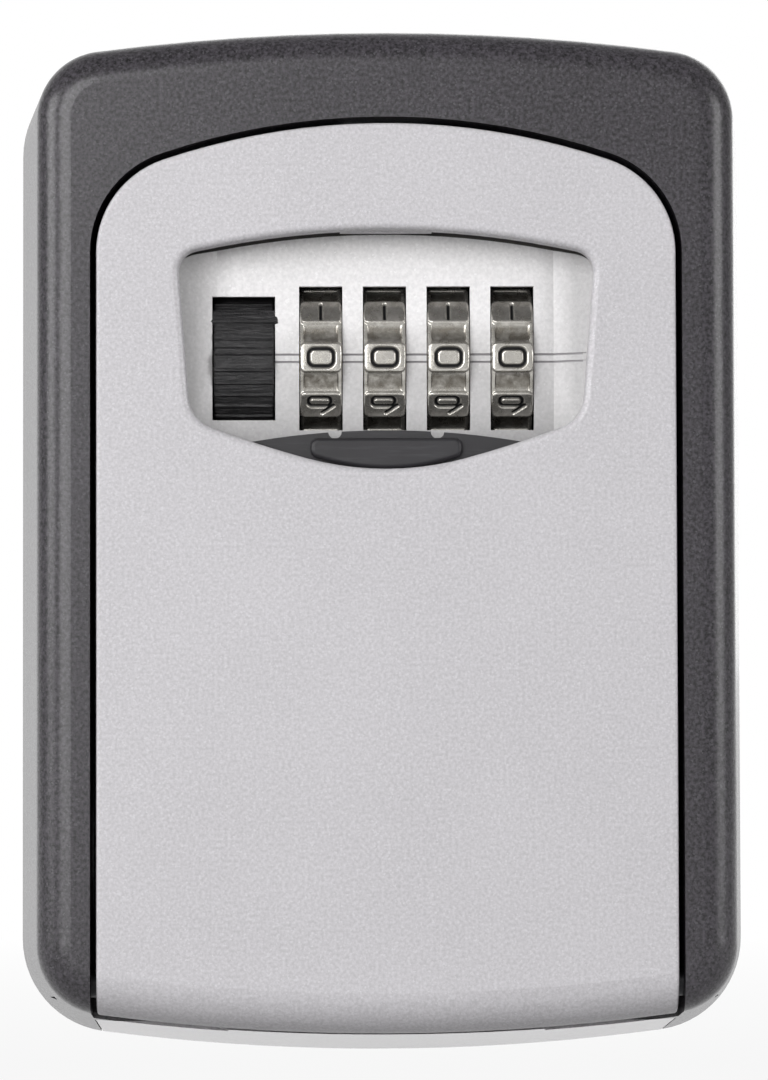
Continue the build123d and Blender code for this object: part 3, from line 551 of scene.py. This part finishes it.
def make_wheel(k, centre_x, axis):
    """Chrome wheel: ten flat pads with engraved digits, and a shallow scallop between each two."""
    angles = np.arange(0, 360, 0.5)
    side = np.linspace(pocket_half_x - 0.1, wheel_half_width, 13)
    middle = np.linspace(-side[0], side[0], 45)
    places = np.concatenate([-side[::-1], middle[1:-1], side])
    half_step = 180 / digit_count
    x = places[None, :]
    # Rim and scallops: v runs round the wheel from the middle of each scallop
    turn = (angles % (2 * half_step) - half_step)[:, None]
    px, pv = np.broadcast_arrays(x, rim_height * np.tan(np.radians(turn)))
    across = np.clip((pocket_half_x - np.abs(px)) / pocket_side, 0, 1)
    depth = pocket_depth * np.clip(1 - (pv / pocket_half_v) ** 2, 0, 1) * across
    round_off = np.clip((np.abs(px) - (wheel_half_width - wheel_edge)) / wheel_edge, 0, 1)
    worn = wheel_edge * (1 - np.sqrt(1 - round_off ** 2))
    outer = (rim_height - depth) / np.cos(np.radians(turn)) * math.cos(math.radians(half_step / 2)) - worn
    ink = np.zeros_like(outer)
    for digit, strokes in enumerate(digit_strokes()):
        turn = (angles - 2 * half_step * digit + 180) % 360 - 180
        near = np.abs(turn) < half_step
        v = pad_height * np.tan(np.radians(turn[near]))[:, None]
        px, pv = np.broadcast_arrays(x, v)
        outside = rounded_box_distance(px, pv, pad_half_x, pad_half_v, pad_corner)
        soft = 0.5 * (outside + np.sqrt(outside ** 2 + 0.07 ** 2))
        height = pad_height - pad_slope * soft
        line = stroke_distance(px, pv, strokes)
        cut = np.clip((stroke_half + stroke_edge - line) / (2 * stroke_edge), 0, 1)
        cut = cut * cut * (3 - 2 * cut)
        height = height - stroke_depth * cut
        radius = height / np.cos(np.radians(turn[near]))[:, None] - worn[near]
        on_pad = outside < 0.3
        rim = np.where(outside < 0, 0, outer[near])
        outer[near] = np.where(on_pad, np.maximum(rim, radius), outer[near])
        ink[near] = np.clip((stroke_half + 0.02 - line) / 0.06, 0, 1) * (outside < 0)
    bore = np.full(outer.shape, wheel_bore)
    tooth = np.abs((angles + half_step) % (2 * half_step) - half_step) > spline_groove / 2
    splined = places > wheel_half_width - spline_length
    bore[np.ix_(tooth, splined)] = spline_bore
    wheel = ring_piece(f"number_wheel_{k + 1}", (centre_x, *axis), angles, places, outer, bore)
    # How far into a scallop pocket; the chrome paints shade there.
    hollow = np.clip((rim_height - 0.05 - outer) / 0.2, 0, 1) * (1 - ink)
    for label, values in (("ink", ink), ("hollow", hollow)):
        layer = wheel.data.attributes.new(label, "FLOAT", "POINT")
        values = np.concatenate([values.ravel(), np.zeros(values.size)])
        layer.data.foreach_set("value", values.astype(np.float32))
    wheel.data.materials.append(chrome)
    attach(wheel, f"wheel_{k + 1}")
    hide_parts(f"wheel_{k + 1}")
    return wheel


def make_lever(centre_x, axis):
    """Black barrel of the opening lever: a raised ledge, a hollow below it, and ridges for the finger."""
    angles = np.concatenate(
        [
            np.arange(lever_low, lever_high + 0.01, 0.25),
            np.arange(lever_high + 0.02, lever_low + 360 - 0.01, 2.0),
        ]
    )
    middle = np.linspace(-lever_half_width + lever_edge, lever_half_width - lever_edge, 9)
    side = lever_half_width - lever_edge * (1 - np.sin(np.linspace(0, 90, 5) * math.pi / 180))
    places = np.concatenate([-side[::-1], middle[1:-1], side])
    radius = np.where(angles <= lever_high + 0.005, lever_outer, lever_hub)

    def step(low, high, soft):
        rise = np.clip((angles - low) / soft + 0.5, 0, 1)
        fall = np.clip((high - angles) / soft + 0.5, 0, 1)
        return np.minimum(rise, fall)

    low, high, amount = lever_ledge
    radius = radius + amount * step(low, high, 1.0)
    low, high, amount = lever_hollow
    radius = radius - amount * step(low, high, 2.0)
    for k in range(lever_ridge_count):
        off = (angles - lever_ridge_first + k * lever_ridge_step) / lever_ridge_half
        radius = radius + lever_ridge_raise * np.clip(1 - off ** 2, 0, 1)
    for at in lever_grooves:
        off = (angles - at) / lever_groove_half
        radius = radius - lever_groove_depth * np.clip(1 - off ** 2, 0, 1)
    past = np.clip((np.abs(places) - (lever_half_width - lever_edge)) / lever_edge, 0, 1)
    outer = radius[:, None] - (lever_edge * (1 - np.sqrt(1 - past ** 2)))[None, :]
    barrel = (angles <= lever_high + 0.005)[:, None]
    wide = (np.abs(places) > lever_hub_half_width)[None, :]
    bore = np.where(barrel & wide, lever_rim_bore, lever_bore)
    ears = 1 + (lever_ledge_spread - 1) * step(lever_ledge[0], lever_ledge[1], 1.0)[:, None]
    ears = np.where(barrel, ears, lever_hub_half_width / lever_half_width)
    lever = ring_piece("lever_barrel", (centre_x, *axis), angles, places, outer, bore, ears)
    pin_turn = np.arange(0, 360, 15.0)
    pin_places = np.array([0.0, 0.02, 0.98, 1.0]) * -lever_pin_length
    pin_places = pin_places[::-1] - lever_hub_half_width
    pin_outer = np.tile(np.array([0.9, 1.0, 1.0, 1.0]) * lever_pin_radius, (len(pin_turn), 1))
    pin_bore = np.full(pin_outer.shape, 0.02)
    pin_centre = (centre_x, axis[0] - lever_pin_at * MM, axis[1])
    pin = ring_piece("lever_pin", pin_centre, pin_turn, pin_places, pin_outer, pin_bore)
    pin.data.materials.append(lever_black)
    lever.data.materials.append(lever_black)
    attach(lever, "lever")
    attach(pin, "lever")
    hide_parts("opening_lever")
    return lever


for k in range(wheel_count):
    low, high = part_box(f"wheel_{k + 1}")
    make_wheel(k, (low.x + high.x) / 2, lock_axis)
low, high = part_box("opening_lever")
make_lever(high.x - lever_hub_half_width * MM, lock_axis)


# Screws and spring: Geometry Nodes makes them


def make_screw_tree():
    """Round-headed screw with a cross recess, head towards +Z, on every point of the incoming mesh."""
    tree = bpy.data.node_groups.new("screw_set", "GeometryNodeTree")
    tree.interface.new_socket("Places", in_out="INPUT", socket_type="NodeSocketGeometry")
    for label in screw_sizes:
        tree.interface.new_socket(label, in_out="INPUT", socket_type="NodeSocketFloat")
    tree.interface.new_socket("Turn", in_out="INPUT", socket_type="NodeSocketVector")
    tree.interface.new_socket("Finish", in_out="INPUT", socket_type="NodeSocketMaterial")
    tree.interface.new_socket("Screws", in_out="OUTPUT", socket_type="NodeSocketGeometry")
    given = tree.nodes.new("NodeGroupInput").outputs
    out = tree.nodes.new("NodeGroupOutput").inputs

    def at_height(shape, height, turn=0.0):
        move = tree.nodes.new("GeometryNodeTransform")
        spot = tree.nodes.new("ShaderNodeCombineXYZ")
        feed(tree, spot.inputs["Z"], height)
        tree.links.new(shape, move.inputs["Geometry"])
        tree.links.new(spot.outputs[0], move.inputs["Translation"])
        move.inputs["Rotation"].default_value = (0.0, 0.0, turn)
        return move.outputs["Geometry"]

    def cylinder(radius, length):
        node = tree.nodes.new("GeometryNodeMeshCylinder")
        node.inputs["Vertices"].default_value = 64
        tree.links.new(radius, node.inputs["Radius"])
        tree.links.new(length, node.inputs["Depth"])
        return node.outputs["Mesh"]

    def combine(operation, first, *others):
        node = tree.nodes.new("GeometryNodeMeshBoolean")
        node.operation = operation
        node.solver = "EXACT"
        whole = node.inputs["Mesh 1"] if operation == "DIFFERENCE" else node.inputs["Mesh 2"]
        tree.links.new(first, whole)
        for other in others:
            tree.links.new(other, node.inputs["Mesh 2"])
        return node.outputs["Mesh"]

    top = given["Head Height"]
    disc = at_height(cylinder(given["Head Radius"], top), calculate(tree, "MULTIPLY", top, 0.5))
    ball = tree.nodes.new("GeometryNodeMeshUVSphere")
    ball.inputs["Segments"].default_value = 64
    ball.inputs["Rings"].default_value = 96
    tree.links.new(given["Dome Radius"], ball.inputs["Radius"])
    dome = at_height(ball.outputs["Mesh"], calculate(tree, "SUBTRACT", top, given["Dome Radius"]))
    head = combine("INTERSECT", disc, dome)
    # The shank runs a little way into the head
    half_length = calculate(tree, "MULTIPLY", given["Shank Length"], 0.5)
    into_head = calculate(tree, "MULTIPLY", top, 0.2)
    length = calculate(tree, "ADD", given["Shank Length"], into_head)
    middle = calculate(tree, "SUBTRACT", calculate(tree, "MULTIPLY", into_head, 0.5), half_length)
    shank = at_height(cylinder(given["Shank Radius"], length), middle)
    bar = tree.nodes.new("GeometryNodeMeshCube")
    size = tree.nodes.new("ShaderNodeCombineXYZ")
    tree.links.new(given["Recess Length"], size.inputs["X"])
    tree.links.new(given["Recess Width"], size.inputs["Y"])
    tree.links.new(calculate(tree, "MULTIPLY", given["Recess Depth"], 2.0), size.inputs["Z"])
    tree.links.new(size.outputs[0], bar.inputs["Size"])
    slots = [at_height(bar.outputs["Mesh"], top, turn) for turn in (0.0, math.pi / 2)]
    screw = combine("DIFFERENCE", combine("UNION", head, shank), combine("UNION", *slots))
    spread = tree.nodes.new("GeometryNodeInstanceOnPoints")
    facing = tree.nodes.new("FunctionNodeEulerToRotation")
    tree.links.new(given["Turn"], facing.inputs[0])
    tree.links.new(given["Places"], spread.inputs["Points"])
    tree.links.new(screw, spread.inputs["Instance"])
    tree.links.new(facing.outputs[0], spread.inputs["Rotation"])
    realize = tree.nodes.new("GeometryNodeRealizeInstances")
    tree.links.new(spread.outputs["Instances"], realize.inputs["Geometry"])
    coat = tree.nodes.new("GeometryNodeSetMaterial")
    tree.links.new(realize.outputs["Geometry"], coat.inputs["Geometry"])
    tree.links.new(given["Finish"], coat.inputs["Material"])
    tree.links.new(coat.outputs["Geometry"], out[0])
    return tree


def make_spring_tree():
    """Coil of round wire along +Z, standing on the given place."""
    tree = bpy.data.node_groups.new("coil_spring", "GeometryNodeTree")
    for label in ("Radius", "Wire Radius", "Length", "Turns"):
        tree.interface.new_socket(label, in_out="INPUT", socket_type="NodeSocketFloat")
    tree.interface.new_socket("Place", in_out="INPUT", socket_type="NodeSocketVector")
    tree.interface.new_socket("Finish", in_out="INPUT", socket_type="NodeSocketMaterial")
    tree.interface.new_socket("Spring", in_out="OUTPUT", socket_type="NodeSocketGeometry")
    given = tree.nodes.new("NodeGroupInput").outputs
    out = tree.nodes.new("NodeGroupOutput").inputs
    coil = tree.nodes.new("GeometryNodeCurveSpiral")
    coil.inputs["Resolution"].default_value = 40
    tree.links.new(given["Turns"], coil.inputs["Rotations"])
    tree.links.new(given["Radius"], coil.inputs["Start Radius"])
    tree.links.new(given["Radius"], coil.inputs["End Radius"])
    tree.links.new(given["Length"], coil.inputs["Height"])
    wire = tree.nodes.new("GeometryNodeCurvePrimitiveCircle")
    wire.inputs["Resolution"].default_value = 16
    tree.links.new(given["Wire Radius"], wire.inputs["Radius"])
    sweep = tree.nodes.new("GeometryNodeCurveToMesh")
    sweep.inputs["Fill Caps"].default_value = True
    tree.links.new(coil.outputs["Curve"], sweep.inputs["Curve"])
    tree.links.new(wire.outputs["Curve"], sweep.inputs["Profile Curve"])
    move = tree.nodes.new("GeometryNodeTransform")
    tree.links.new(sweep.outputs["Mesh"], move.inputs["Geometry"])
    tree.links.new(given["Place"], move.inputs["Translation"])
    coat = tree.nodes.new("GeometryNodeSetMaterial")
    tree.links.new(move.outputs["Geometry"], coat.inputs["Geometry"])
    tree.links.new(given["Finish"], coat.inputs["Material"])
    tree.links.new(coat.outputs["Geometry"], out[0])
    return tree


def run_tree(name, tree, points, values):
    """Run a Geometry Nodes tree on a mesh of points and keep its result as a plain mesh."""
    base = new_mesh(name + "_base", points, [])
    modifier = base.modifiers.new(name, "NODES")
    modifier.node_group = tree
    for item in tree.interface.items_tree:
        if item.in_out == "INPUT" and item.name in values:
            modifier[item.identifier] = values[item.name]
    mesh = bpy.data.meshes.new_from_object(base.evaluated_get(bpy.context.evaluated_depsgraph_get()))
    mesh.name = name
    base.modifiers.remove(modifier)
    bpy.data.objects.remove(base)
    mesh.polygons.foreach_set("use_smooth", [True] * len(mesh.polygons))
    mesh.set_sharp_from_angle(angle=math.radians(30))
    piece = bpy.data.objects.new(name, mesh)
    bpy.context.scene.collection.objects.link(piece)
    return piece


def make_screws(name, places, sizes, turn, node, body):
    values = {label: value * MM for label, value in zip(screw_sizes, sizes)}
    screws = run_tree(name, screw_tree, places, values | {"Turn": turn, "Finish": screw_steel})
    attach(screws, body)
    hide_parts(node)
    return screws


def make_spring():
    """The latch spring stands on its shelf."""
    low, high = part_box("latch_spring")
    wire = spring_wire * MM
    middle = ((low.x + high.x) / 2, (low.y + high.y) / 2)
    values = {
        "Radius": (high.x - low.x) / 2 - wire,
        "Wire Radius": wire,
        "Length": high.z - low.z - 2 * wire,
        "Turns": spring_turns,
        "Place": (*middle, low.z + wire),
        "Finish": spring_steel,
    }
    spring = run_tree("latch_coil", make_spring_tree(), [(0, 0, 0)], values)
    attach(spring, "door")
    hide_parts("latch_spring")
    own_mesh(spring)
    return spring


screw_tree = make_screw_tree()
radius, height = cover_screw[:2]
low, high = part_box("cover_screws")
seat = high.y - height * MM
columns = (low.x + radius * MM, high.x - radius * MM)
rows = (low.z + radius * MM, high.z - radius * MM)
places = [(x, seat, z) for x in columns for z in rows]
turn = (-math.pi / 2, cover_screw_turn, 0.0)
make_screws("cover_screw_set", places, cover_screw, turn, "cover_screws", "door")
radius, height = floor_screw[:2]
low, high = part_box("floor_screws")
seat = high.z - height * MM
columns = (low.x + radius * MM, high.x - radius * MM)
places = [(x, (low.y + high.y) / 2, seat) for x in columns]
turn = (0.0, 0.0, floor_screw_turn)
make_screws("floor_screw_set", places, floor_screw, turn, "floor_screws", "case")
make_spring()


# Stage, light and camera


def make_floor():
    finish, tree, shader = new_finish("pale_floor")
    place = tree.nodes.new("ShaderNodeTexCoord").outputs["Object"]
    tone = mix_colours(tree, noise(tree, place, 8.0), (0.24, 0.24, 0.24), (0.28, 0.28, 0.28))
    tree.links.new(tone, shader.inputs["Base Color"])
    shader.inputs["Roughness"].default_value = 0.8
    glow = tree.nodes.new("ShaderNodeEmission")
    path = tree.nodes.new("ShaderNodeLightPath")
    seen = calculate(tree, "MAXIMUM", path.outputs["Is Camera Ray"], path.outputs["Is Glossy Ray"])
    seen = calculate(tree, "MAXIMUM", seen, path.outputs["Is Transmission Ray"])
    mix = tree.nodes.new("ShaderNodeMixShader")
    result = tree.nodes["Material Output"]
    reach = tree.nodes.new("ShaderNodeVectorMath")
    reach.operation = "LENGTH"
    tree.links.new(place, reach.inputs[0])
    share = remap(tree, reach.outputs["Value"], 0.15, 0.9, 0.90, 1.0)
    tree.links.new(calculate(tree, "MULTIPLY", seen, share), mix.inputs[0])
    tree.links.new(shader.outputs[0], mix.inputs[1])
    tree.links.new(glow.outputs[0], mix.inputs[2])
    tree.links.new(mix.outputs[0], result.inputs["Surface"])
    corners = [(x * floor_half, y * floor_half, floor_z) for x, y in ((-1, -1), (1, -1), (1, 1), (-1, 1))]
    floor = new_mesh("floor", corners, [(0, 1, 2, 3)], False)
    floor.data.materials.append(finish)


def make_world():
    """White to the camera; for everything else bright from behind, softer in front, dim at the sides."""
    world = bpy.data.worlds.new("studio")
    bpy.context.scene.world = world
    world.use_nodes = True
    tree = world.node_tree
    tree.nodes.clear()
    direction = tree.nodes.new("ShaderNodeTexCoord").outputs["Generated"]
    split = tree.nodes.new("ShaderNodeSeparateXYZ")
    tree.links.new(direction, split.inputs[0])
    behind = remap(tree, split.outputs["Y"], 0.45, 0.90, 0.35, 1.0)
    front = remap(tree, split.outputs["Y"], -0.45, -0.90, 0.35, 0.62)
    level = calculate(tree, "MAXIMUM", behind, front)
    tone = mix_colours(tree, level, (0.0, 0.0, 0.0), (1.0, 1.0, 1.0))
    path = tree.nodes.new("ShaderNodeLightPath")
    soft = tree.nodes.new("ShaderNodeBackground")
    glossy, through = path.outputs["Is Glossy Ray"], path.outputs["Is Transmission Ray"]
    mirrored = calculate(tree, "MAXIMUM", glossy, through)
    tree.links.new(remap(tree, mirrored, 0.0, 1.0, 0.9, 1.0), soft.inputs["Strength"])
    tree.links.new(tone, soft.inputs["Color"])
    white = tree.nodes.new("ShaderNodeBackground")
    white.inputs["Color"].default_value = (1.0, 1.0, 1.0, 1.0)
    white.inputs["Strength"].default_value = 1.0
    mix = tree.nodes.new("ShaderNodeMixShader")
    result = tree.nodes.new("ShaderNodeOutputWorld")
    tree.links.new(path.outputs["Is Camera Ray"], mix.inputs[0])
    tree.links.new(soft.outputs[0], mix.inputs[1])
    tree.links.new(white.outputs[0], mix.inputs[2])
    tree.links.new(mix.outputs[0], result.inputs["Surface"])


def add_lamp(name, place, size, power):
    """A square soft box aimed at the middle of the object."""
    lamp = bpy.data.lights.new(name, "AREA")
    lamp.size = size
    lamp.energy = power
    holder = bpy.data.objects.new(name, lamp)
    bpy.context.scene.collection.objects.link(holder)
    holder.location = place
    aim = Vector((0, front_face_y, 0)) - Vector(place)
    holder.rotation_euler = aim.to_track_quat("-Z", "Y").to_euler()


def add_camera():
    turn, tilt, roll = (math.radians(a) for a in (camera_turn, camera_tilt, camera_roll))
    look = Vector((math.sin(turn) * math.cos(tilt), math.cos(turn) * math.cos(tilt), math.sin(tilt)))
    level_right = look.cross(Vector((0, 0, 1))).normalized()
    level_up = level_right.cross(look)
    right = level_right * math.cos(roll) - level_up * math.sin(roll)
    up = level_right * math.sin(roll) + level_up * math.cos(roll)
    place = Vector((0, front_face_y, 0)) - look * camera_distance
    data = bpy.data.cameras.new("camera")
    data.sensor_fit = "VERTICAL"
    data.sensor_height = sensor_height
    data.sensor_width = sensor_height
    data.lens = focal_pixels / image_height * sensor_height
    data.shift_x = -centre_right / image_height
    data.shift_y = -centre_up / image_height
    data.clip_start = 0.01
    camera = bpy.data.objects.new("camera", data)
    bpy.context.scene.collection.objects.link(camera)
    camera.matrix_world = Matrix(
        (
            (right.x, up.x, -look.x, place.x),
            (right.y, up.y, -look.y, place.y),
            (right.z, up.z, -look.z, place.z),
            (0, 0, 0, 1),
        )
    )
    bpy.context.scene.camera = camera


make_floor()
make_world()
add_lamp("front_lamp", (-0.5, -1.2, 0.32), 0.8, 10.8)
add_lamp("left_lamp", (-0.9, -0.35, 0.25), 0.5, 4.5)
add_lamp("right_lamp", (0.9, -0.45, 0.2), 0.5, 3.6)
add_lamp("back_lamp", (0.3, 1.2, 0.4), 0.8, 2.5)
add_camera()
bpy.context.scene.view_settings.view_transform = "Standard"
